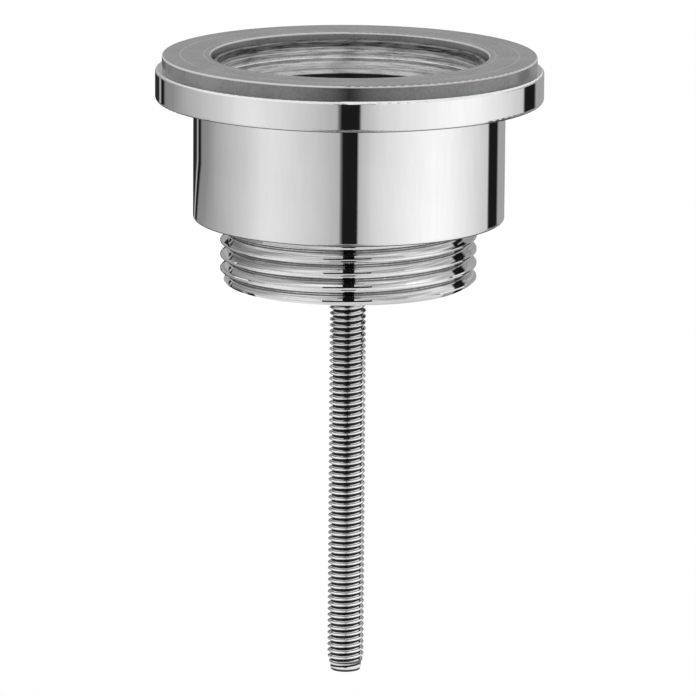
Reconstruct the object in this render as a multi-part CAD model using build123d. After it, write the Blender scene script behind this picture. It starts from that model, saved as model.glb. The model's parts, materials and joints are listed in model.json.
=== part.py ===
from build123d import *
import os
from math import cos, radians, sin, sqrt, tan

# Sprung plug basin waste, in millimetres. The origin is the centre of the sealing washer's top
# face, where the waste is pulled up against the basin. +Z points up into the basin, along the
# axis of the bore, so every piece lies below zero while the plug is latched down.

# Sealing washer
washer_thick = 2.35
washer_r = 30.5
washer_round = 0.3
washer_hole_gap = 0.3

# Flange, and the low spigot that centres the washer
flange_r = 31.6
flange_thick = 5.0
flange_top_round = 0.4
flange_bottom_round = 0.6
spigot_r = 22.3
spigot_rise = 1.25
spigot_round = 0.3
mouth_r = 21.4
mouth_depth = 2.95

# Barrel
barrel_r = 25.4
barrel_height = 19.55
barrel_round = 0.4
barrel_bore_r = 20.0
cone_lift = 0.4

# Tail with its 1 1/4 inch parallel pipe thread
tail_length = 10.55
tail_r = 20.955
tail_bore_r = 17.0
tail_chamfer = 0.9
relief_depth = 0.6
relief_height = 1.1
thread_pitch = 2.309
thread_half_angle = 27.5
thread_depth_share = 0.640327
thread_round_share = 0.137329
crest_round_angle = 30.0
crest_lift = 0.02
thread_top_gap = 1.2
thread_end_angle = 45.0
thread_run_out = 1.5

# Bridge across the tail, with its tapped hub
arm_count = 4
arm_width = 3.2
arm_height = 4.2
arm_recess = 0.9
arm_bite = 1.0
hub_r = 6.5
hub_round = 0.5

# Seat ring let into the bore
ring_depth = 4.75
ring_height = 7.0
ring_r = 20.95
ring_gap = 0.05
ring_throat_r = 17.0
ring_seat_r = 15.0
ring_top_chamfer = 0.6
ring_seal_section = 0.65
ring_seal_gap = 0.05
ring_seal_lift = 2.0

# Plug and its seal
plug_depth = 7.1
plug_r = 16.3
plug_rim_thick = 1.5
plug_dome = 0.5
plug_spigot_r = 12.8
plug_spigot_height = 1.0
seal_r = 16.55
seal_lip_width = 2.4
seal_lip_drop = 0.7
seal_chamfer = 0.65
seal_fit_gap = 0.05
seal_seat_gap = 0.3
clamp_r = 13.6
clamp_thick = 0.5

# Plunger, with the stub that the plug is screwed on
plunger_r = 4.5
plunger_bore_r = 3.25
plunger_tip = 0.4
stub_r = 2.5
stub_length = 2.2
stub_gap = 0.03
stub_end_gap = 0.15
collar_r = 5.6
collar_thick = 1.0
clip_r = 5.5
clip_thick = 0.5
clip_groove_depth = 0.6
clip_mouth = 5.0

# Travel of the plug and its latch
plug_stroke = 8.0
press_room = 0.7
latch_turn = 45.0
stroke_end_gap = 0.2

# Latch rotor
rotor_r = 6.0
rotor_height = 2.2
rotor_gap = 0.05
lug_count = 4
lug_width = 2.6
lug_reach = 1.1

# Cartridge
running_gap = 0.05
tube_bore_r = 6.2
tube_wall = 1.3
tube_floor = 1.5
hex_across = 15.6
hex_height = 2.0
screw_r = 4.0
screw_length = 3.5
screw_gap = 0.03
screw_end_gap = 0.2
cap_gap = 0.05
cap_wall = 0.9
cap_plate = 2.4
cap_skirt = 2.4
cap_round = 0.4
slot_gap = 0.25

# Stem seal, a ring in a groove inside the cap
stem_seal_section = 0.5
stem_seal_gap = 0.1

# Spring, at its length while the plug is latched down
spring_wire = 0.7
spring_side_gap = 0.3
spring_length = 8.4
spring_turns = 6
spring_end_gap = 0.05

# Stud and its lock nut. Where it is screwed in, the stud is drawn at its pitch diameter. Its free
# end has the M6 thread's section, drawn as parallel ribs instead of one long helix.
stud_r = 3.0
stud_pitch_r = 2.675
stud_gap = 0.03
stud_free_length = 63.25
stud_chamfer = 0.25
stud_top_gap = 0.3
stud_pitch = 1.0
stud_half_angle = 30.0
stud_depth_share = 0.6134
stud_crest_share = 0.125
nut_across = 10.0
nut_thick = 3.0
nut_chamfer = 0.5

# Levels along the axis, from the washer's top down to the tail's end
flange_top = -washer_thick
flange_bottom = flange_top - flange_thick
barrel_bottom = flange_bottom - barrel_height
tail_bottom = barrel_bottom - tail_length
lip_top = flange_top + spigot_rise
mouth_bottom = lip_top - mouth_depth
ring_top = lip_top - ring_depth
ring_bottom = ring_top - ring_height
relief_bottom = barrel_bottom - relief_height
arm_bottom = tail_bottom + arm_recess

# Levels of the plug while it is latched down
rim_top = -plug_depth
rim_bottom = rim_top - plug_rim_thick
spigot_bottom = rim_bottom - plug_spigot_height
clamp_bottom = spigot_bottom - clamp_thick
stub_top = clamp_bottom + stub_length
seal_bottom = spigot_bottom - seal_lip_drop

# Levels of the cartridge, from the cap down to the hub
cap_top = clamp_bottom - press_room
cap_under = cap_top - cap_plate
collar_top = cap_under - stroke_end_gap - plug_stroke
collar_bottom = collar_top - collar_thick
rotor_top = collar_bottom - rotor_gap
rotor_bottom = rotor_top - rotor_height
clip_top = rotor_bottom - rotor_gap
clip_bottom = clip_top - clip_thick
plunger_bottom = clip_bottom - plunger_tip
floor_top = plunger_bottom - press_room
hub_top = floor_top - tube_floor
screw_bottom = hub_top - screw_length
counterbore_bottom = screw_bottom - screw_end_gap
stud_top = counterbore_bottom - stud_top_gap
nut_bottom = arm_bottom - nut_thick
stud_bottom = nut_bottom - stud_free_length

# Radii that follow from the fits
relief_r = tail_r - relief_depth
ring_bore_r = ring_r + ring_gap
tube_r = tube_bore_r + tube_wall
clip_groove_r = plunger_r - clip_groove_depth
stud_hole_r = stud_pitch_r + stud_gap

# Height that a cut runs past the face that it opens
past = 1.0


def turned(corners):
    """Solid turned about the Z axis from corners given as radius, height and rounding."""
    points = [(radius, height) for radius, height, _ in corners]
    rounds = [rounding for _, _, rounding in corners]
    outline = FilletPolyline(*points, radius=rounds, close=True)
    return revolve(Plane.XZ * make_face(outline), Axis.Z)


def rod(radius, bottom, top):
    """Plain round solid between two heights."""
    upright = (Align.CENTER, Align.CENTER, Align.MIN)
    return Pos(0, 0, bottom) * Cylinder(radius, top - bottom, align=upright)


def block(length, width, bottom, top):
    """Bar that starts at the axis and points along +X."""
    outward = (Align.MIN, Align.CENTER, Align.MIN)
    return Pos(0, 0, bottom) * Box(length, width, top - bottom, align=outward)


def hexagon(across, bottom, top):
    """Hexagonal prism with the given width across its flats."""
    corner_r = across / 2 / cos(radians(30))
    return Pos(0, 0, bottom) * extrude(RegularPolygon(corner_r, 6), top - bottom)


def cup_body():
    """Flange, spigot, barrel and the tail's relief, turned in one with their bores."""
    cone_bottom = barrel_bottom + cone_lift
    return turned(
        [
            (mouth_r, lip_top, spigot_round),
            (spigot_r, lip_top, spigot_round),
            (spigot_r, flange_top, 0),
            (flange_r, flange_top, flange_top_round),
            (flange_r, flange_bottom, flange_bottom_round),
            (barrel_r, flange_bottom, 0),
            (barrel_r, barrel_bottom, barrel_round),
            (relief_r, barrel_bottom, 0),
            (relief_r, relief_bottom, 0),
            (tail_bore_r, relief_bottom, 0),
            (tail_bore_r, cone_bottom, 0),
            (barrel_bore_r, cone_bottom + barrel_bore_r - tail_bore_r, 0),
            (barrel_bore_r, ring_bottom, 0),
            (ring_bore_r, ring_bottom, 0),
            (ring_bore_r, mouth_bottom, 0),
            (mouth_r, mouth_bottom, 0),
        ]
    )


def groove_section():
    """Section of the thread's groove: Whitworth form, its crest edges rounded off."""
    depth = thread_depth_share * thread_pitch
    rounding = thread_round_share * thread_pitch
    flank = radians(thread_half_angle)
    pitch_r = tail_r - depth / 2
    root_r = tail_r - depth
    root_side_r = root_r + rounding * (1 - sin(flank))
    crest_side_r = tail_r - rounding * (1 - sin(flank))
    root_side = thread_pitch / 4 + (root_side_r - pitch_r) * tan(flank)
    crest_side = thread_pitch / 4 + (crest_side_r - pitch_r) * tan(flank)
    turn = radians(crest_round_angle)
    crest_end_r = tail_r - rounding * (1 - cos(turn))
    crest_end = thread_pitch / 2 - rounding * sin(turn)
    lift_r = tail_r + crest_lift
    lift_side = crest_end + (lift_r - crest_end_r) / tan(turn)
    upper = [
        (root_side_r, root_side),
        (crest_side_r, crest_side),
        (crest_end_r, crest_end),
        (lift_r, lift_side),
    ]
    lower = [(radius, -side) for radius, side in reversed(upper)]
    flanks = Polyline(*upper), Line(upper[-1], lower[0]), Polyline(*lower)
    root = ThreePointArc(lower[-1], (root_r, 0), upper[0])
    return Plane.XZ * make_face([*flanks, root])


def thread_groove():
    """The groove itself, swept up a helix from below the tail's end to under the barrel."""
    top = barrel_bottom - thread_top_gap
    turns = (top - tail_bottom + thread_run_out) / thread_pitch
    helix = Edge.make_helix(thread_pitch, turns * thread_pitch, tail_r)
    groove = sweep(groove_section(), path=helix, is_frenet=True)
    start_angle = thread_end_angle - 360 * turns
    return Pos(0, 0, top - turns * thread_pitch) * Rot(0, 0, start_angle) * groove


def end_chamfer(chamfer, end, inward):
    """Cutter that bevels one end of the tail. Inward is 1 for its lower end, -1 for its upper."""
    corners = [
        (tail_r - chamfer - past, end - inward * past, 0),
        (tail_r + past, end - inward * past, 0),
        (tail_r + past, end + inward * (chamfer + past), 0),
    ]
    return turned(corners)


def threaded_tail():
    """Tail below the relief, with its bore, its thread and a bevel at each end."""
    tail = rod(tail_r, tail_bottom, relief_bottom)
    tail -= rod(tail_bore_r, tail_bottom - past, relief_bottom + past)
    tail -= thread_groove()
    tail -= end_chamfer(tail_chamfer, tail_bottom, 1)
    return tail - end_chamfer(relief_depth, relief_bottom, -1)


def bridge():
    """Arms across the tail with the tapped hub at their middle."""
    hub = turned(
        [
            (0, arm_bottom, 0),
            (hub_r, arm_bottom, hub_round),
            (hub_r, hub_top, hub_round),
            (0, hub_top, 0),
        ]
    )
    for index in range(arm_count):
        arm = block(tail_bore_r + arm_bite, arm_width, arm_bottom, arm_bottom + arm_height)
        hub += Rot(0, 0, index * 360 / arm_count) * arm
    hub -= rod(stud_hole_r, arm_bottom - past, hub_top)
    hub -= rod(screw_r + screw_gap, counterbore_bottom, hub_top + past)
    return hub


def waste_cup():
    """Flanged cup with its pipe thread, bridge and hub, one plated casting."""
    return cup_body() + threaded_tail() + bridge()


def seat_washer():
    """Soft washer that lies on the flange around the spigot."""
    hole_r = spigot_r + washer_hole_gap
    return turned(
        [
            (hole_r, flange_top, 0),
            (washer_r, flange_top, 0),
            (washer_r, 0, washer_round),
            (hole_r, 0, washer_round),
        ]
    )


def seat_ring():
    """Ring in the bore: its top is the ledge below the mouth, its cone the plug's seat."""
    seal_chamfer_top = seal_bottom + seal_chamfer
    seat_top = seal_chamfer_top + ring_throat_r - seal_r - seal_seat_gap * sqrt(2)
    groove_bottom = ring_bottom + ring_seal_lift
    groove_top = groove_bottom + 2 * (ring_seal_section + ring_seal_gap)
    groove_r = ring_bore_r - 2 * (ring_seal_section + ring_seal_gap)
    return turned(
        [
            (ring_throat_r, ring_top, 0),
            (ring_r - ring_top_chamfer, ring_top, 0),
            (ring_r, ring_top - ring_top_chamfer, 0),
            (ring_r, groove_top, 0),
            (groove_r, groove_top, 0),
            (groove_r, groove_bottom, 0),
            (ring_r, groove_bottom, 0),
            (ring_r, ring_bottom, 0),
            (ring_seat_r, ring_bottom, 0),
            (ring_seat_r, seat_top - ring_throat_r + ring_seat_r, 0),
            (ring_throat_r, seat_top, 0),
        ]
    )


def seat_ring_seal():
    """O-ring in the seat ring's groove, against the cup's bore."""
    reach = ring_seal_section + ring_seal_gap
    return Pos(0, 0, ring_bottom + ring_seal_lift + reach) * Torus(ring_bore_r - reach, ring_seal_section)


def plug_disc():
    """Plug with a slightly domed top, a spigot for its seal and a blind tapped hole."""
    half = plug_r / 2
    dome = ThreePointArc(
        (0, rim_top + plug_dome),
        (half, rim_top + plug_dome * (1 - (half / plug_r) ** 2)),
        (plug_r, rim_top),
    )
    sides = Polyline(
        (plug_r, rim_top),
        (plug_r, rim_bottom),
        (plug_spigot_r, rim_bottom),
        (plug_spigot_r, spigot_bottom),
        (0, spigot_bottom),
        (0, rim_top + plug_dome),
    )
    disc = revolve(Plane.XZ * make_face([dome, sides]), Axis.Z)
    return disc - rod(stub_r + stub_gap, spigot_bottom - past, stub_top + stub_end_gap)


def plug_seal():
    """Rubber seal under the rim, with a chamfered lip that meets the seat's cone."""
    hole_r = plug_spigot_r + seal_fit_gap
    return turned(
        [
            (hole_r, rim_bottom, 0),
            (seal_r, rim_bottom, 0),
            (seal_r, seal_bottom + seal_chamfer, 0),
            (seal_r - seal_chamfer, seal_bottom, 0),
            (seal_r - seal_lip_width, seal_bottom, 0),
            (seal_r - seal_lip_width, spigot_bottom, 0),
            (hole_r, spigot_bottom, 0),
        ]
    )


def seal_clamp_plate():
    """Plate between the plug's spigot and the plunger's shoulder."""
    return rod(clamp_r, clamp_bottom, spigot_bottom) - rod(stub_r + stub_gap, clamp_bottom - past, 0)


def plunger():
    """Hollow stem with a collar above the rotor and a clip groove below it."""
    spring_top = floor_top + spring_length
    return turned(
        [
            (0, stub_top, 0),
            (stub_r, stub_top, 0),
            (stub_r, clamp_bottom, 0),
            (plunger_r, clamp_bottom, 0),
            (plunger_r, collar_top, 0),
            (collar_r, collar_top, 0),
            (collar_r, collar_bottom, 0),
            (plunger_r, collar_bottom, 0),
            (plunger_r, clip_top, 0),
            (clip_groove_r, clip_top, 0),
            (clip_groove_r, clip_bottom, 0),
            (plunger_r, clip_bottom, 0),
            (plunger_r, plunger_bottom, 0),
            (plunger_bore_r, plunger_bottom, 0),
            (plunger_bore_r, spring_top, 0),
            (0, spring_top, 0),
        ]
    )


def rotor_clip():
    """Open retaining clip in the plunger's groove."""
    ring = rod(clip_r, clip_bottom, clip_top) - rod(clip_groove_r, clip_bottom - past, clip_top + past)
    return ring - block(clip_r + past, clip_mouth, clip_bottom - past, clip_top + past)


def latch_rotor():
    """Ring that turns on the plunger, with lugs that run in the tube's slots."""
    ring = rod(rotor_r, rotor_bottom, rotor_top)
    for index in range(lug_count):
        lug = block(tube_bore_r + lug_reach, lug_width, rotor_bottom, rotor_top)
        ring += Rot(0, 0, index * 360 / lug_count) * lug
    ring &= rod(tube_bore_r + lug_reach, rotor_bottom, rotor_top)
    return ring - rod(plunger_r + running_gap, rotor_bottom - past, rotor_top + past)


def slot_cutter():
    """Twisted bar that a lug sweeps, cut upward from the rotor's lowest place."""
    bottom = rotor_bottom - press_room - slot_gap
    height = cap_under + past - bottom
    turn_per_mm = latch_turn / plug_stroke
    lug_sweep = radians(turn_per_mm * rotor_height) * tube_bore_r
    width = lug_width + lug_sweep + 2 * slot_gap
    inner_r = (plunger_r + tube_bore_r) / 2
    bar = Pos((inner_r + tube_r + past) / 2, 0) * Rectangle(tube_r + past - inner_r, width)
    twist = turn_per_mm * height
    cutter = Solid.extrude_linear_with_rotation(bar.face(), (0, 0, 0), (0, 0, height), twist)
    rotor_middle = (rotor_top + rotor_bottom) / 2
    return Pos(0, 0, bottom) * Rot(0, 0, turn_per_mm * (bottom - rotor_middle)) * cutter


def cartridge_body():
    """Tube with a floor, a hex foot, a screwed spigot and a twisted slot for each lug."""
    tube = rod(tube_r, hub_top, cap_under)
    tube += hexagon(hex_across, hub_top, hub_top + hex_height)
    tube += rod(screw_r, screw_bottom, hub_top)
    tube -= rod(tube_bore_r, floor_top, cap_under + past)
    for index in range(lug_count):
        tube -= Rot(0, 0, index * 360 / lug_count) * slot_cutter()
    return tube


def cartridge_cap():
    """Cap over the tube's open end, with the plunger's guide hole and the seal's groove."""
    skirt_r = tube_r + cap_gap
    cap_r = skirt_r + cap_wall
    guide_r = plunger_r + running_gap
    seal_reach = stem_seal_section + stem_seal_gap
    middle = (cap_top + cap_under) / 2
    return turned(
        [
            (guide_r, cap_top, 0),
            (cap_r, cap_top, cap_round),
            (cap_r, cap_under - cap_skirt, 0),
            (skirt_r, cap_under - cap_skirt, 0),
            (skirt_r, cap_under, 0),
            (guide_r, cap_under, 0),
            (guide_r, middle - seal_reach, 0),
            (plunger_r + 2 * seal_reach, middle - seal_reach, 0),
            (plunger_r + 2 * seal_reach, middle + seal_reach, 0),
            (guide_r, middle + seal_reach, 0),
        ]
    )


def stem_seal():
    """O-ring in the cap's groove, around the plunger."""
    major_r = plunger_r + stem_seal_section + stem_seal_gap
    return Pos(0, 0, (cap_top + cap_under) / 2) * Torus(major_r, stem_seal_section)


def plug_spring():
    """Compression spring between the tube's floor and the plunger's blind bore."""
    coil_r = plunger_bore_r - spring_side_gap - spring_wire / 2
    rise = spring_length - 2 * spring_end_gap - spring_wire
    helix = Edge.make_helix(rise / spring_turns, rise, coil_r)
    wire = Plane.XZ * Pos(coil_r, 0) * Circle(spring_wire / 2)
    coil = sweep(wire, path=helix, is_frenet=True)
    return Pos(0, 0, floor_top + spring_end_gap + spring_wire / 2) * coil


def stud_ribs():
    """Corners of the stud's free thread from the nut down, one groove to each pitch."""
    depth = stud_depth_share * stud_pitch
    crest_side = (1 - stud_crest_share) * stud_pitch / 2
    root_side = crest_side - depth * tan(radians(stud_half_angle))
    grooves = int((stud_free_length - stud_chamfer) / stud_pitch)
    corners = []
    for index in range(grooves):
        middle = nut_bottom - (index + 0.5) * stud_pitch
        corners.append((stud_r, middle + crest_side, 0))
        corners.append((stud_r - depth, middle + root_side, 0))
        corners.append((stud_r - depth, middle - root_side, 0))
        corners.append((stud_r, middle - crest_side, 0))
    return corners


def fixing_stud():
    """Stud screwed up into the hub, its free end threaded and chamfered."""
    return turned(
        [
            (0, stud_top, 0),
            (stud_pitch_r, stud_top, 0),
            (stud_pitch_r, nut_bottom, 0),
            (stud_r, nut_bottom, 0),
            *stud_ribs(),
            (stud_r, stud_bottom + stud_chamfer, 0),
            (stud_r - stud_chamfer, stud_bottom, 0),
            (0, stud_bottom, 0),
        ]
    )


def stud_lock_nut():
    """Thin hexagon nut against the hub's underside, its corners turned off."""
    corner_r = nut_across / 2 / cos(radians(30))
    chamfered = turned(
        [
            (stud_hole_r, nut_bottom, 0),
            (corner_r - nut_chamfer, nut_bottom, 0),
            (corner_r, nut_bottom + nut_chamfer, 0),
            (corner_r, arm_bottom, 0),
            (stud_hole_r, arm_bottom, 0),
        ]
    )
    return hexagon(nut_across, nut_bottom, arm_bottom) & chamfered


pieces = {
    "waste_cup": waste_cup,
    "seat_washer": seat_washer,
    "seat_ring": seat_ring,
    "seat_ring_seal": seat_ring_seal,
    "plug_disc": plug_disc,
    "plug_seal": plug_seal,
    "seal_clamp_plate": seal_clamp_plate,
    "plunger": plunger,
    "plug_spring": plug_spring,
    "latch_rotor": latch_rotor,
    "rotor_clip": rotor_clip,
    "cartridge_body": cartridge_body,
    "cartridge_cap": cartridge_cap,
    "stem_seal": stem_seal,
    "fixing_stud": fixing_stud,
    "stud_lock_nut": stud_lock_nut,
}

os.makedirs("parts", exist_ok=True)
for name, make in pieces.items():
    piece = make()
    export_step(piece, f"parts/{name}.step")
    print(name, "volume", round(piece.volume, 1), "mm3")
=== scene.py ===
# %% [markdown]
# # A sprung plug basin waste
#
# The real thing is a chromed brass cup that hangs under a basin. A soft grey washer lies on its
# flange, its tail has a pipe thread for the trap, and a long steel stud pulls it up tight. A plug on
# a sprung, click-down cartridge sits inside. The solids come ready made, at their real size, so this
# lesson is about what the eye sees: mirror plating, a rolled thread, rubber, and the studio round it.

# %% Load the solids
import json
from math import cos, degrees, pi, radians, sin, tan

import bpy
from mathutils import Matrix, Vector


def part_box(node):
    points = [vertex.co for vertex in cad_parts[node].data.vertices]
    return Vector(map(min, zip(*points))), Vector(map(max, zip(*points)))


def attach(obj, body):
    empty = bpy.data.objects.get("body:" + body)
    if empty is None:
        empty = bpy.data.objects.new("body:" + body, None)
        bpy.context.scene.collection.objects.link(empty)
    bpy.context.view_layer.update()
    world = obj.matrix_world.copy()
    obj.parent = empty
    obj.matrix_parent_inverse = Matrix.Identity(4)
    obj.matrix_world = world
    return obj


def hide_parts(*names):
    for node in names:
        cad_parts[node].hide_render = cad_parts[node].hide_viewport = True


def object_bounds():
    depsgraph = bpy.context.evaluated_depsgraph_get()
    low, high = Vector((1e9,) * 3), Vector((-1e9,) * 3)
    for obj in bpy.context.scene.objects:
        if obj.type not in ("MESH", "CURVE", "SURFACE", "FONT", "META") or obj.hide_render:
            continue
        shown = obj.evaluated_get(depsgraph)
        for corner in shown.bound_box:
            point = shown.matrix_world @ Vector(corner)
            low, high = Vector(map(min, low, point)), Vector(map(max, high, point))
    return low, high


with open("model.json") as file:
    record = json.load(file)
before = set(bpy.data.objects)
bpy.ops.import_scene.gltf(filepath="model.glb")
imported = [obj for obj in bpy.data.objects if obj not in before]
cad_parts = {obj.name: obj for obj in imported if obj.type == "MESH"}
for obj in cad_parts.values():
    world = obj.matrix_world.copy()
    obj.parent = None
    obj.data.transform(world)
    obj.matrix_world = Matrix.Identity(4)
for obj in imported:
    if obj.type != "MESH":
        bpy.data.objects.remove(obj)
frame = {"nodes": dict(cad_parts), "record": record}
cad_low, cad_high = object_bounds()
nodes = frame["nodes"]
print("solids:", len(nodes), "height in mm:", round((cad_high.z - cad_low.z) * 1000, 1))

# %% [markdown]
# ## Writing node trees as sums
#
# Every finish and every repeating shape below is a node tree. Placing nodes by hand is slow to read,
# so one small class wraps an output socket and lets plain arithmetic add the Math nodes. Another
# holds the tree and makes any other kind of node from its type, its settings and its inputs.

# %% Helpers for node trees
class Output:
    """An output socket. Arithmetic on it adds Math nodes to its tree."""

    def __init__(self, tree, made, index):
        self.tree = tree
        self.made = made
        self.socket = made.outputs[index]

    def maths(self, operation, *values):
        return self.tree.node("ShaderNodeMath", {"operation": operation}, dict(enumerate(values)))

    def also(self, index):
        """Another output of the same node."""
        return Output(self.tree, self.made, index)

    def __add__(self, other):
        return self.maths("ADD", self, other)

    def __radd__(self, other):
        return self.maths("ADD", other, self)

    def __sub__(self, other):
        return self.maths("SUBTRACT", self, other)

    def __rsub__(self, other):
        return self.maths("SUBTRACT", other, self)

    def __mul__(self, other):
        return self.maths("MULTIPLY", self, other)

    def __rmul__(self, other):
        return self.maths("MULTIPLY", other, self)

    def __truediv__(self, other):
        return self.maths("DIVIDE", self, other)

    def __rtruediv__(self, other):
        return self.maths("DIVIDE", other, self)

    def least(self, other):
        return self.maths("MINIMUM", self, other)

    def most(self, other):
        return self.maths("MAXIMUM", self, other)

    def away_from(self, place):
        """How far this value is from that one, on either side."""
        return self.maths("ABSOLUTE", self - place)

    def ramp(self, low, high, at_low=0.0, at_high=1.0):
        """A smooth step from at_low to at_high while this value goes from low to high."""
        values = {0: self, 1: low, 2: high, 3: at_low, 4: at_high}
        return self.tree.node("ShaderNodeMapRange", {"interpolation_type": "SMOOTHSTEP"}, values)


class Tree:
    """A node tree being written, of a material, the world or a modifier."""

    def __init__(self, node_tree):
        self.tree = node_tree

    def node(self, kind, settings=None, values=None, output=0):
        made = self.tree.nodes.new(kind)
        for name, value in (settings or {}).items():
            if name == "stops":
                self.set_stops(made.color_ramp, value)
            else:
                setattr(made, name, value)
        for key, value in (values or {}).items():
            self.feed(made.inputs[key], value)
        return Output(self, made, output) if made.outputs else made

    def feed(self, socket, value):
        if isinstance(value, Output):
            self.tree.links.new(value.socket, socket)
        else:
            socket.default_value = value

    def set_stops(self, ramp, stops):
        """Fills a colour ramp with (position, level) stops. It starts with two, so the rest are added."""
        for _ in range(len(stops) - 2):
            ramp.elements.new(0.5)
        for element, (position, level) in zip(ramp.elements, stops):
            element.position = position
            element.color = (level, level, level, 1)


print("helpers ready")

# %% [markdown]
# ## Places to read a finish from
#
# A finish varies over the surface, so each one starts from the object's own coordinates. All solids
# share one origin on the axis of the bore, which makes the distance from the axis one short formula.

# %% Coordinates and noise
class Finish(Tree):
    """A material that is being written, with its shader already in place."""

    def __init__(self, name, **constants):
        self.material = bpy.data.materials.new(name)
        self.material.use_nodes = True
        super().__init__(self.material.node_tree)
        self.shader = self.tree.nodes["Principled BSDF"]
        self.feeds(**constants)
        self.place = self.node("ShaderNodeTexCoord", output=3)
        self.x = self.node("ShaderNodeSeparateXYZ", values={0: self.place})
        self.y = self.x.also(1)
        self.z = self.x.also(2)

    def radius(self):
        """The distance from the axis of the bore."""
        return self.x.maths("SQRT", self.x * self.x + self.y * self.y)

    def noise(self, per_metre, detail=3.0, stretch=(1, 1, 1)):
        """Noise of about that many spots a metre, stretched along the axes if asked."""
        scale = tuple(per_metre * s for s in stretch)
        spread = self.node("ShaderNodeMapping", values={"Vector": self.place, "Scale": scale})
        values = {"Vector": spread, "Scale": 1.0, "Detail": detail, "Roughness": 0.55}
        return self.node("ShaderNodeTexNoise", values=values)

    def mixed(self, share, first, second):
        """Two colours mixed by a share from 0 to 1."""
        values = {0: share, 6: first, 7: second}
        return self.node("ShaderNodeMix", {"data_type": "RGBA"}, values, output=2)

    def bumped(self, height, distance, strength):
        """Feeds the shader's normal with a bump from that height, distance in metres."""
        values = {"Height": height, "Distance": distance, "Strength": strength}
        self.feeds(Normal=self.node("ShaderNodeBump", values=values))

    def feeds(self, **values):
        """Sets or links inputs of the shader, each named with _ for a space."""
        for key, value in values.items():
            self.feed(self.shader.inputs[key.replace("_", " ")], value)


def grey(level, warm=0.0):
    """A grey as a colour, with a touch of warmth if asked."""
    return (level * (1 + warm), level, level * (1 - warm), 1)


print("finish helper ready")

# %% [markdown]
# ## Places on the chromed cup
#
# The cup is one piece, yet it shows five surfaces: a polished outside, a turned mouth, a throat painted
# dark as shade, a rolled pipe thread and rounded edges. Each could have a material of its own, with a
# seam to hide between every two. One material with a mask for each place has no seam: the distance
# from the axis and the height say which place a point belongs to. So the sizes of those places come
# first. What the plug and its seat set is read from their boxes.

# %% Sizes on the cup, in metres
washer_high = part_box("seat_washer")[1]
plug_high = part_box("plug_disc")[1]
ring_low, ring_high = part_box("seat_ring")
washer_hole = 0.0226
lip_radius = washer_hole - 0.0001
clear_of_plug = plug_high.x + 0.0002
throat_radius = 0.017
throat_top = ring_high.z
bore_bottom = ring_low.z - 0.01
collar_foot = -0.0022
flange_radius = 0.0316
flange_top = -0.00235
flange_foot = -0.00735
barrel_radius = 0.0254
barrel_foot = -0.0269
pipe_crest = 0.020955
pipe_root = 0.01948
print("pipe thread:", pipe_crest * 2000, "mm across, from", barrel_foot * 1000, "mm down")


# %% Masks for those places
# Over this far the outside passes into the mouth, the throat or the thread.
blend = 0.0002


def inside_masks(finish):
    """Shares of the turned inside and of its throat, painted dark as shade, from 0 to 1."""
    radius = finish.radius()
    inside = radius.ramp(lip_radius, lip_radius + blend, 1.0, 0.0)
    inside = inside * radius.ramp(clear_of_plug, clear_of_plug + blend)
    inside = inside * finish.z.ramp(bore_bottom, bore_bottom + 0.001)
    # The throat wall is painted near black: painted shade deep in the bore.
    painted_throat_shade = inside * finish.z.ramp(throat_top - blend, throat_top, 1.0, 0.0)
    painted_throat_shade = painted_throat_shade * radius.ramp(throat_radius + blend, throat_radius + 2 * blend, 1.0, 0.0)
    return inside, painted_throat_shade


def thread_masks(finish, inside):
    """Shares of the pipe thread's flanks and of its roots, which are painted dark partly for grime and
    partly as painted shade.
    """
    radius = finish.radius()
    thread = finish.z.ramp(barrel_foot, barrel_foot - blend) * (1.0 - inside)
    thread = thread * radius.ramp(pipe_root - 2 * blend, pipe_root - blend)
    flank = thread * radius.ramp(pipe_crest - 0.00035, pipe_crest - 0.0001, 1.0, 0.0)
    # The roots are darkened partly for grime and partly as painted shade in the groove.
    root_grime_and_shade = thread * radius.ramp(pipe_root + 0.00001, pipe_root + 0.00006, 1.0, 0.0)
    return flank, root_grime_and_shade


def edge_masks(finish):
    """Shares of the satin rounded edges and of the painted dark line of shade low on two of them."""
    radius = finish.radius()
    rounded = radius.ramp(flange_radius - 0.00045, flange_radius - 0.0004)
    rounded = rounded * finish.z.ramp(flange_top - 0.0004, flange_top - 0.00035)
    # Low on the flange's and the barrel's edges a thin dark line is painted, as painted shade.
    line = 0.0
    for edge_radius, foot in ((flange_radius, flange_foot), (barrel_radius, barrel_foot)):
        near = radius.ramp(edge_radius - 0.0007, edge_radius - 0.0005)
        line = near * finish.z.ramp(foot + 0.00016, foot + 0.00028, 0.9, 0.0) + line
        rounded = rounded.most(near * finish.z.ramp(foot + 0.00052, foot + 0.0006, 1.0, 0.0))
    return rounded, line


print("masks ready for the mouth, the thread and the edges")

# %% [markdown]
# ## Chrome
#
# Bright chrome is a thin hard mirror over polished brass. It could be a flat metal with no roughness
# at all, but real plating follows the polishing marks under it. So the roughness drifts a little, and
# a shallow, wide bump lets reflections waver by less than a degree. A polishing wheel reaches the
# outside only. Inside the mouth the plating lies over turned metal, so fine rings break it up; the
# collar at its top is painted darker as shade under the washer, and down in the throat the colour is
# painted near black as shade. The rounded edges are a little satin, because a wheel dulls them, and
# the lower ones carry a thin painted dark line of shade. The pipe thread on the tail is rolled, with
# lines along its flanks, and its roots are painted dark, partly for grime and partly as painted shade.

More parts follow.
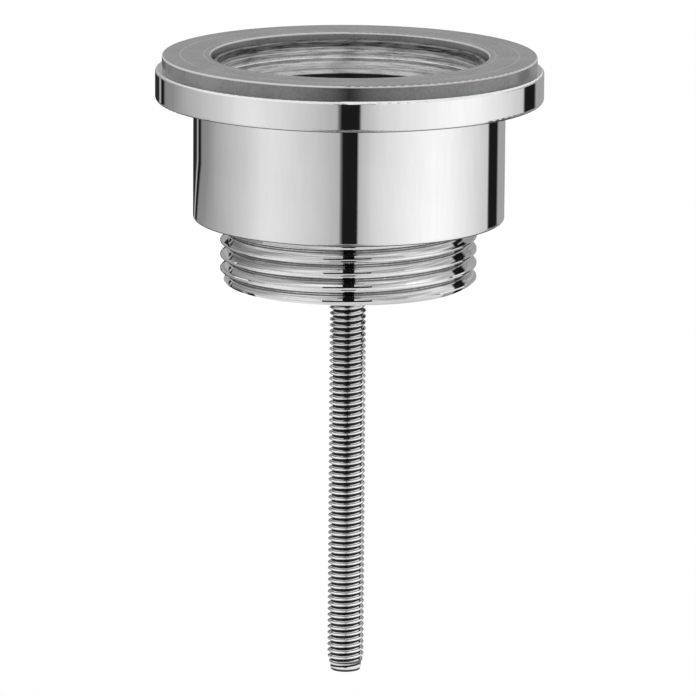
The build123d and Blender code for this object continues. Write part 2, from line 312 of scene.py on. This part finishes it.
# %% Turned metal in the mouth
def turned_metal(finish, rings):
    """Bright tool rings on the mouth's wall, and a darker satin on the collar at its top, painted dark as
    shade under the washer.
    """
    per_metre = 2200.0
    values = {0: finish.radius() * per_metre, 2: finish.z * per_metre}
    spread = finish.node("ShaderNodeCombineXYZ", values=values)
    lathe = finish.node("ShaderNodeTexNoise", values={"Vector": spread, "Scale": 1.0, "Detail": 3.0})
    cut = (lathe * 0.7 + rings * 0.3).ramp(0.4, 0.6)
    bright = finish.mixed(cut, grey(0.4), grey(1.0))
    # The collar's satin is painted darker: painted shade just under the washer.
    satin = finish.mixed(rings.ramp(0.35, 0.65), grey(0.08), grey(0.26))
    on_shaded_collar = finish.z.ramp(collar_foot - 0.0001, collar_foot + 0.0001)
    return finish.mixed(on_shaded_collar, bright, satin)


print("turned metal ready")


# %% Chrome finish
def chrome():
    finish = Finish("polished_chrome", Metallic=1.0)
    drift = finish.noise(60, detail=2.0)
    marks = finish.noise(900, detail=4.0, stretch=(1, 1, 0.15))
    rings = finish.noise(1100, detail=4.0, stretch=(0.25, 0.25, 4))
    lines = finish.noise(1100, detail=3.0, stretch=(0.05, 0.05, 4))
    inside, painted_throat_shade = inside_masks(finish)
    flank, root_grime_and_shade = thread_masks(finish, inside)
    rounded, painted_shade_line = edge_masks(finish)

    tone = (drift * 0.6 + marks * 0.4).ramp(0.3, 0.7)
    polished = finish.mixed(tone, grey(0.80), grey(0.86))
    # A thin painted line of shade along the lower edges.
    polished = finish.mixed(painted_shade_line, polished, grey(0.04))
    rolled = finish.mixed(lines.ramp(0.35, 0.65), grey(0.55), grey(1.0))
    # The thread's roots are painted dark here, partly grime and partly painted shade.
    outside = finish.mixed(root_grime_and_shade, finish.mixed(flank, polished, rolled), grey(0.15))
    plated = finish.mixed(inside, outside, turned_metal(finish, rings))

    gloss = marks.ramp(0.35, 0.75, 0.015, 0.05)
    satin = inside * rings.ramp(0.3, 0.7, 0.2, 0.4)
    # The throat goes near black here, as painted shade.
    finish.feeds(
        Base_Color=finish.mixed(painted_throat_shade, plated, grey(0.02)),
        Roughness=gloss + satin + rounded * 0.25,
    )
    finish.bumped(drift * (1.0 - inside) + rings * inside, 0.00002, 0.25)
    return finish.material


print("chrome ready")

# %% [markdown]
# ## The soft washer
#
# It is moulded in a smoky, half clear plastic with a wet shine. Head on it is dark, but its top is
# seen at a low angle, where any smooth plastic mirrors the pale room, so it looks mid grey. A grey
# paint would miss that. The body here is dark with a little light passing into it, the shine does
# the rest, and a fine grain and two faint moulded rings break it up; the rings are also painted
# lighter, as painted highlights. Its sharp upper edges are painted pale, as a painted highlight, and
# the middle of its wall's front is painted near black, as a painted dark reflection.

# %% Washer finish
def painted_front_reflection(finish, outer_radius):
    """The front of the washer's wall painted dark, as a painted dark reflection. It halves at every
    half_width away from the middle.
    """
    half_width = 0.0055
    deepest = 0.87
    dark_reflection = finish.x.maths("POWER", 0.5, finish.x.away_from(0.0) / half_width) * deepest
    on_wall = finish.radius().ramp(outer_radius - 0.0006, outer_radius)
    return dark_reflection * on_wall * finish.y.ramp(-0.02, 0.0, 1.0, 0.0)


def soft_washer(inner_radius, outer_radius):
    finish = Finish("smoky_washer", Subsurface_Weight=0.1, Subsurface_Scale=0.002, IOR=1.5)
    grain = finish.noise(2200, detail=3.0)
    cloud = finish.noise(120, detail=3.0)
    tone = (grain * 0.5 + cloud * 0.5).ramp(0.3, 0.7)
    across = (finish.radius() - inner_radius) / (outer_radius - inner_radius)
    inner_ring = across.away_from(0.14).ramp(0.0, 0.03, 1.0, 0.0)
    outer_ring = across.away_from(0.62).ramp(0.0, 0.03, 1.0, 0.0)
    # The sharp upper edges are painted pale: a painted highlight.
    edges = across.ramp(0.01, 0.035, 1.0, 0.0).most(across.ramp(0.965, 0.99))
    edges = edges * finish.z.ramp(-0.0004, -0.0002)

    body = finish.mixed(tone, grey(0.17), grey(0.26))
    # The moulded rings are painted lighter too, as painted highlights; the bump below gives their real
    # ridges.
    body = finish.mixed(inner_ring.most(outer_ring) * 0.5, body, grey(0.45))
    # The middle of the front wall is painted near black, as a painted dark reflection.
    body = finish.mixed(painted_front_reflection(finish, outer_radius), body, grey(0.005))
    finish.feeds(
        Base_Color=finish.mixed(edges, body, grey(0.6)),
        Roughness=tone.ramp(0.0, 1.0, 0.12, 0.22),
    )
    finish.bumped(grain * 0.04 + cloud * 0.5 + inner_ring * 0.6 + outer_ring * 0.4, 0.0002, 0.4)
    return finish.material


print("washer ready")

# %% [markdown]
# ## Plain working finishes
#
# Inside there are machined brass, stainless spring wire, white acetal and black rubber. Nobody sees
# them until the plug rises, so one flat colour each could do. Yet each real one has the marks of how
# it was made, so each gets them here: turning rings on brass, drawing lines on wire, a fine bloom on
# rubber and a faint mottle on moulded plastic.

# %% Working finishes
def brass():
    finish = Finish("machined_brass", Metallic=1.0)
    rings = finish.noise(700, detail=3.0, stretch=(0.1, 0.1, 6))
    tarnish = finish.noise(180, detail=4.0).ramp(0.45, 0.75)
    finish.feeds(
        Base_Color=finish.mixed(tarnish, (0.78, 0.58, 0.28, 1), (0.52, 0.36, 0.17, 1)),
        Roughness=rings.ramp(0.3, 0.7, 0.18, 0.38),
    )
    finish.bumped(rings, 0.00003, 0.4)
    return finish.material


def stainless():
    finish = Finish("plain_stainless", Metallic=1.0)
    lines = finish.noise(1500, detail=3.0, stretch=(1, 1, 0.1))
    finish.feeds(
        Base_Color=finish.mixed(lines.ramp(0.3, 0.7), grey(0.50), grey(0.66)),
        Roughness=lines.ramp(0.3, 0.7, 0.2, 0.36),
    )
    finish.bumped(lines, 0.00002, 0.3)
    return finish.material


def acetal():
    finish = Finish("white_acetal", IOR=1.48)
    mottle = finish.noise(420, detail=3.0)
    finish.feeds(
        Base_Color=finish.mixed(mottle.ramp(0.35, 0.65), grey(0.74, 0.01), grey(0.82, 0.01)),
        Roughness=mottle.ramp(0.3, 0.7, 0.35, 0.5),
    )
    finish.bumped(mottle, 0.00003, 0.3)
    return finish.material


def black_rubber():
    finish = Finish("black_rubber", IOR=1.5)
    bloom = finish.noise(260, detail=4.0)
    grain = finish.noise(3000, detail=2.0)
    finish.feeds(
        Base_Color=finish.mixed(bloom.ramp(0.4, 0.75), grey(0.012), grey(0.035)),
        Roughness=bloom.ramp(0.3, 0.7, 0.42, 0.62),
    )
    finish.bumped(grain, 0.00004, 0.4)
    return finish.material


print("working finishes ready")

# %% [markdown]
# ## Zinc on a rolled thread
#
# The stud is zinc plated steel, bright on its crests and flanks. The roots of the thread are painted
# dark, partly for oil and grime and partly as painted shade, and a thin dark line is painted where flank
# and crest meet, as a painted reflection. Two separate materials could paint them, but a mask by depth in
# the groove follows the helix by itself, so the distance from the axis drives both colour and roughness.
# Only the flat end face, which has no groove, goes by its height.

# %% Stud finish
def zinc(crest_radius, root_radius, end_height):
    finish = Finish("zinc_plated_steel", Metallic=1.0)
    depth = (finish.radius() - root_radius) / (crest_radius - root_radius)
    # A thin dark line is painted where flank meets crest, as a painted reflection.
    off_painted_line = depth.away_from(0.62).ramp(0.03, 0.12)
    blotch = finish.noise(420, detail=4.0)
    # Dark roots are partly grime and partly painted shade; the rest is the lit, clean zinc.
    lit_and_clean = (depth.ramp(0.12, 0.3) * 0.8 + blotch * 0.3).ramp(0.15, 0.85) * (off_painted_line * 0.9 + 0.1)
    end_face = finish.z.ramp(end_height + 0.00001, end_height + 0.00003, 0.8, 0.0)
    lit_and_clean = lit_and_clean.most(end_face * (0.7 + blotch * 0.6))
    finish.feeds(
        Base_Color=finish.mixed(lit_and_clean, grey(0.03), grey(0.95)),
        Roughness=lit_and_clean.ramp(0.0, 1.0, 0.3, 0.1),
    )
    finish.bumped(blotch, 0.00003, 0.4)
    return finish.material


print("zinc ready")

# %% [markdown]
# ## The stud's thread
#
# The solid stud has plain rings of the right pitch and depth. A real M6 thread is one groove that
# winds down the rod, so its shape follows a rule: the radius depends only on the height less the turn.
# A modifier could cut it with a long helix, but a grid that is rolled into a tube is lighter. Geometry
# Nodes roll it, take the radius from a triangle wave with its tips rounded off, and weld the seam.

# %% Sizes of the thread
stud_low, stud_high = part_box("fixing_stud")
nut_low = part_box("stud_lock_nut")[0]
thread_sizes = {
    "Pitch": 0.001,
    "Crest radius": stud_high.x,
    "Root radius": 0.00236,
    "Plain radius": 0.002675,
    "Bottom": stud_low.z - 0.00024,
    "Thread top": nut_low.z,
    "Top": stud_high.z,
    "Bevel": 0.0006,
    "Bevel height": 0.0026,
    "Start": 0.3,
}
grid_around = 48
row_height = 0.00005
grid_rows = int((stud_high.z - stud_low.z) / row_height) + 8
print("stud thread:", round((nut_low.z - stud_low.z) * 1000, 1), "mm long,", grid_rows, "rows")


# %% The radius at each height and turn
def thread_radius(size, turn, z):
    """The groove, the bevel at the lower end and the plain rod above the thread."""
    # Whole turns change nothing in the fraction, and they keep the count of turns above nought.
    whole_turns = 100.0
    turns_up = (z - size["Bottom"]) / size["Pitch"] - turn + size["Start"] + whole_turns
    tooth = z.maths("FRACT", turns_up).away_from(0.5) * 2.0
    depth = size["Crest radius"] - size["Root radius"]
    rolled = size["Root radius"] + tooth.ramp(0.0, 1.0) * depth
    taper = size["Bevel"] * (z - size["Bottom"]) / size["Bevel height"]
    bevelled = rolled.least(size["Crest radius"] - size["Bevel"] + taper)
    above = z.maths("GREATER_THAN", z, size["Thread top"])
    return bevelled + (size["Plain radius"] - bevelled) * above


print("thread rule ready")


# %% The tree that rolls a grid into a thread
def thread_tree(around, rows, material):
    """A modifier tree: a threaded rod along Z with closed ends."""
    group = bpy.data.node_groups.new("rolled_thread", "GeometryNodeTree")
    group.interface.new_socket("Geometry", in_out="OUTPUT", socket_type="NodeSocketGeometry")
    for name in thread_sizes:
        group.interface.new_socket(name, in_out="INPUT", socket_type="NodeSocketFloat")
    tree = Tree(group)
    given = tree.node("NodeGroupInput")
    size = {name: given.also(index) for index, name in enumerate(thread_sizes)}
    spacing = {"Size X": 1.0, "Size Y": float(rows - 1), "Vertices X": around + 1, "Vertices Y": rows}
    grid = tree.node("GeometryNodeMeshGrid", values=spacing)
    across = tree.node("ShaderNodeSeparateXYZ", values={0: tree.node("GeometryNodeInputPosition")})
    turn = across + 0.5
    row = across.also(1) + (rows - 1) / 2

    # The first and last rows close the ends: each lies level with its neighbour, at radius nought.
    step = (size["Top"] - size["Bottom"]) / float(rows - 3)
    z = (size["Bottom"] + (row - 1.0) * step).most(size["Bottom"]).least(size["Top"])
    wall = row.maths("GREATER_THAN", row, 0.5) * row.maths("LESS_THAN", row, rows - 1.5)
    radius = thread_radius(size, turn, z) * wall

    angle = turn * (2 * pi)
    spot = {"X": radius * angle.maths("COSINE", angle), "Y": radius * angle.maths("SINE", angle), "Z": z}
    position = tree.node("ShaderNodeCombineXYZ", values=spot)
    moved = tree.node("GeometryNodeSetPosition", values={"Geometry": grid, "Position": position})
    welded = tree.node("GeometryNodeMergeByDistance", values={"Geometry": moved, "Distance": 0.000004})
    real = tree.node("GeometryNodeRealizeInstances", values={"Geometry": welded})
    coated = tree.node("GeometryNodeSetMaterial", values={"Geometry": real, "Material": material})
    tree.node("NodeGroupOutput", values={0: coated})
    return group


print("thread tree ready")


# %% Bake the thread to a plain mesh
def placed(name, data):
    """A new object in the scene, at its origin."""
    made = bpy.data.objects.new(name, data)
    bpy.context.scene.collection.objects.link(made)
    return made


def from_tree(name, group, inputs):
    """Runs a tree as a modifier and keeps its result as a plain mesh object."""
    holder = placed(name, bpy.data.meshes.new(name))
    modifier = holder.modifiers.new("tree", "NODES")
    modifier.node_group = group
    for item in group.interface.items_tree:
        if item.in_out == "INPUT":
            modifier[item.identifier] = inputs[item.name]
    graph = bpy.context.evaluated_depsgraph_get()
    mesh = bpy.data.meshes.new_from_object(holder.evaluated_get(graph))
    holder.modifiers.remove(modifier)
    holder.data = mesh
    mesh.name = name
    return holder


zinc_finish = zinc(thread_sizes["Crest radius"], thread_sizes["Root radius"], thread_sizes["Bottom"])
stud = from_tree("threaded_stud", thread_tree(grid_around, grid_rows, zinc_finish), thread_sizes)
stud.data.shade_smooth()
stud.data.set_sharp_from_angle(angle=radians(50))
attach(stud, "waste")
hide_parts("fixing_stud")
print("stud:", len(stud.data.polygons), "faces")

# %% [markdown]
# ## Dress the solids
#
# All the other pieces, from the cup down to the smallest seal, could be modelled again for the eye,
# but their own solids already have the true shape. So each only takes a finish, by the slot that the
# record names for it.

# %% Give each solid its finish
finishes = {
    "chrome": chrome(),
    "washer": soft_washer(washer_hole, washer_high.x),
    "brass": brass(),
    "stainless": stainless(),
    "acetal": acetal(),
    "black_rubber": black_rubber(),
    "stud_steel": zinc_finish,
}
for part in frame["record"]["subparts"]:
    piece = nodes[part["node"]]
    piece.data.materials.clear()
    piece.data.materials.append(finishes[part["material_slot"]])

# %% [markdown]
# ## Floor and world
#
# The photo has a plain white ground. A white picture behind the object would do for one view, but
# from above there has to be a floor that takes the shadow. So a wide matt floor lies below the stud,
# lifted a little for the camera alone, and the world is plain white all round.

# %% Floor
floor_z = cad_low.z - 0.04
reach = 3.0
signs = ((-1, -1), (1, -1), (1, 1), (-1, 1))
corners = [(reach * x, reach * y, floor_z) for x, y in signs]
floor_mesh = bpy.data.meshes.new("floor")
floor_mesh.from_pydata(corners, [], [(0, 1, 2, 3)])
floor = placed("floor", floor_mesh)
print("floor at", round(floor_z * 1000, 1), "mm")


# %% Floor and world finishes
def pale_floor():
    """Matt near-white that also reads as white to the camera, with the shadow kept."""
    camera_glow = 0.15
    finish = Finish("pale_floor", Base_Color=grey(0.86), Roughness=0.9, Specular_IOR_Level=0.0)
    seen = finish.node("ShaderNodeLightPath")
    finish.feeds(Emission_Color=grey(1), Emission_Strength=seen * camera_glow)
    return finish.material


def pale_world():
    """White all round, which is the backdrop, the mirrored sky and the soft light in one."""
    world = bpy.data.worlds.new("pale_world")
    world.use_nodes = True
    backdrop = world.node_tree.nodes["Background"]
    backdrop.inputs["Color"].default_value = grey(1)
    backdrop.inputs["Strength"].default_value = 1.0
    return world


floor.data.materials.append(pale_floor())
bpy.context.scene.world = pale_world()
print("floor and world ready")

# %% [markdown]
# ## The wall of cards
#
# A mirror shows the room, so the room is the picture. Lamps could light it, but every tone that the
# chrome shows would then need a lamp of its own. Here the object hangs inside a round wall of cards,
# with a carpet of the same tones in front of it: broad soft ones left and right, a dark gap in front
# where the camera looks in, and dark edges behind. The real room's dark edge on the left leans, so
# there the pattern slides round with the height. The camera and the matt pieces don't see the cards,
# only the chrome does, so the white world alone lights the object.

# %% Tones by the angle in degrees from the camera's side
wall_radius = 0.45
wall_top = -0.03
carpet_radius = 0.12
cards = [
    (-180, 0.02), (-155, 0.02), (-153, 0.40), (-151, 0.40), (-149.5, 0.01), (-144, 0.01),
    (-141.5, 0.22), (-128, 0.25), (-113, 0.37),
    (-80, 0.58), (-66, 0.72), (-57, 0.75), (-45, 0.70), (-22, 0.56), (-12, 0.47), (-6.3, 0.42),
    (-5.3, 0.01), (5.7, 0.01), (6.7, 0.45), (18, 0.65), (45, 0.86), (63, 0.95), (76, 0.92), (88, 0.82),
    (113, 0.62), (121, 0.57), (123, 0.01), (138, 0.01), (142, 0.34), (180, 0.30),
]
# The chrome gives back about this share of the light, so the wall glows by as much more.
chrome_share = 0.83
# On the left the pattern slides round by lean_start degrees down to lean_top, and from there to
# lean_foot by lean_slope degrees a metre more. It slides fully from lean_whole degrees on, and it
# stops sliding between the two heights of lean_end.
lean_top = -0.098
lean_foot = -0.1216
lean_start = -4.34
lean_slope = 800.0
lean_from = -105
lean_whole = -136
lean_end = (-0.1240, -0.1225)
print("card wall:", len(cards), "stops,", wall_radius * 2, "m across")


# %% Paper that glows and cards that only a mirror sees
def paper(name):
    """A material with nothing in it yet, and its tree."""
    material = bpy.data.materials.new(name)
    material.use_nodes = True
    material.node_tree.nodes.clear()
    return material, Tree(material.node_tree)


def glow(tree, colour, strength):
    light = tree.node("ShaderNodeEmission", values={"Color": colour, "Strength": strength})
    tree.node("ShaderNodeOutputMaterial", values={0: light})


def mirrored_card(name, points, faces, material):
    """A card that the camera, the matt pieces and the shadows leave out."""
    mesh = bpy.data.meshes.new(name)
    mesh.from_pydata(points, [], faces)
    mesh.materials.append(material)
    card = placed(name, mesh)
    card.visible_camera = False
    card.visible_diffuse = False
    card.visible_shadow = False


print("card helpers ready")


# %% Build the wall
def wall_paper():
    """Paper whose brightness changes with the angle, and on the left with the height too."""
    material, tree = paper("card_wall")
    place = tree.node("ShaderNodeTexCoord", output=3)
    x = tree.node("ShaderNodeSeparateXYZ", values={0: place})
    angle = x.maths("ARCTAN2", x, 0.0 - x.also(1))
    height = x.also(2)
    drop = lean_top - height.most(lean_foot).least(lean_top)
    leaning = angle.ramp(radians(lean_from), radians(lean_whole)) * height.ramp(*lean_end)
    angle = angle + leaning * (lean_start + drop * lean_slope) * radians(1)
    stops = [((turn + 180) / 360, level) for turn, level in cards]
    level = tree.node("ShaderNodeValToRGB", {"stops": stops}, {0: angle / (2 * pi) + 0.5})
    glow(tree, level, 1 / chrome_share)
    return material


def wall_and_carpet(sides=180):
    """Points and faces between three rims: the carpet's edge, the wall's foot and the wall's top."""
    around = [(sin(2 * pi * i / sides), cos(2 * pi * i / sides)) for i in range(sides)]
    foot_z = floor_z + 0.0005
    rims = [(carpet_radius, foot_z), (wall_radius, foot_z), (wall_radius, wall_top)]
    points = [(radius * x, radius * y, z) for radius, z in rims for x, y in around]
    faces = [(row + i, row + (i + 1) % sides, row + sides + (i + 1) % sides, row + sides + i)
             for row in (0, sides) for i in range(sides)]
    return points, faces


mirrored_card("card_wall", *wall_and_carpet(), wall_paper())
print("card wall ready")

# %% [markdown]
# ## The single cards
#
# A photographer adds small cards to shape one reflection at a time. The same tones could be painted
# on the chrome, but then they would stay put when the object is seen from another side. So a black
# runner carries the front gap in under the object, a black strip lies behind it, two small flags draw
# the dark lines by the tail's edges, and a grey card closes the back above the wall.

# %% Black runner, strip, flags and back card
def plain_card(name, points, faces, level):
    """A card of one grey."""
    material, tree = paper(name)
    glow(tree, grey(1), level)
    mirrored_card(name, points, faces, material)


def band(low_ring, high_ring, first, last, sides=60):
    """Points and faces between two arcs, each (radius, height), over angles from the camera's side."""
    turns = [radians(first + (last - first) * i / sides) for i in range(sides + 1)]
    points = [(r * sin(a), -r * cos(a), z) for r, z in (low_ring, high_ring) for a in turns]
    faces = [(i, i + 1, sides + i + 2, sides + i + 1) for i in range(sides)]
    return points, faces


black = 0.01
card_z = floor_z + 0.001
gap_half = wall_radius * tan(radians(5.5))
bends = [(-0.06, card_z), (-wall_radius, card_z), (-wall_radius, 0.4)]
runner = [(side, y, z) for y, z in bends for side in (-gap_half, gap_half)]
plain_card("black_runner", runner, [(0, 1, 3, 2), (2, 3, 5, 4)], black)

flat_cards = {
    "black_strip": (-0.03, 0.03, 0.035, wall_radius),
    "left_flag": (-0.15, -0.08, 0.18, 0.32),
    "right_flag": (0.07, 0.13, 0.143, 0.21),
}
for name, (left, right, near, far) in flat_cards.items():
    points = [(side, y, card_z) for y in (near, far) for side in (left, right)]
    plain_card(name, points, [(0, 1, 3, 2)], black)
plain_card("back_card", *band((wall_radius, wall_top), (wall_radius, 0.18), 100, 260), 0.41)
print("cards ready")

# %% [markdown]
# ## The camera
#
# The photo was taken from well back with a long lens, a little above the flange, and the picture is
# turned by under half a degree. Trying views by eye could come near. Here all of that was worked out
# from how round the rims look and from the heights of the edges.

# %% Camera
lens_mm = 315.5
distance = 1.0
elevation = radians(12.18)
aim = Vector((0.00005, 0, -0.04872))
picture_turn = radians(-0.42)

camera_data = bpy.data.cameras.new("camera")
camera_data.lens = lens_mm
camera_data.sensor_width = 36
camera = placed("camera", camera_data)
back = Vector((0, -cos(elevation), sin(elevation)))
facing = back.to_track_quat("Z", "Y").to_matrix().to_4x4()
turned = Matrix.Rotation(-picture_turn, 4, "Z")
camera.matrix_world = Matrix.Translation(aim + back * distance) @ facing @ turned
bpy.context.scene.camera = camera
bpy.context.scene.view_settings.view_transform = "Standard"
print("camera", distance, "m away,", round(degrees(elevation), 1), "degrees up")
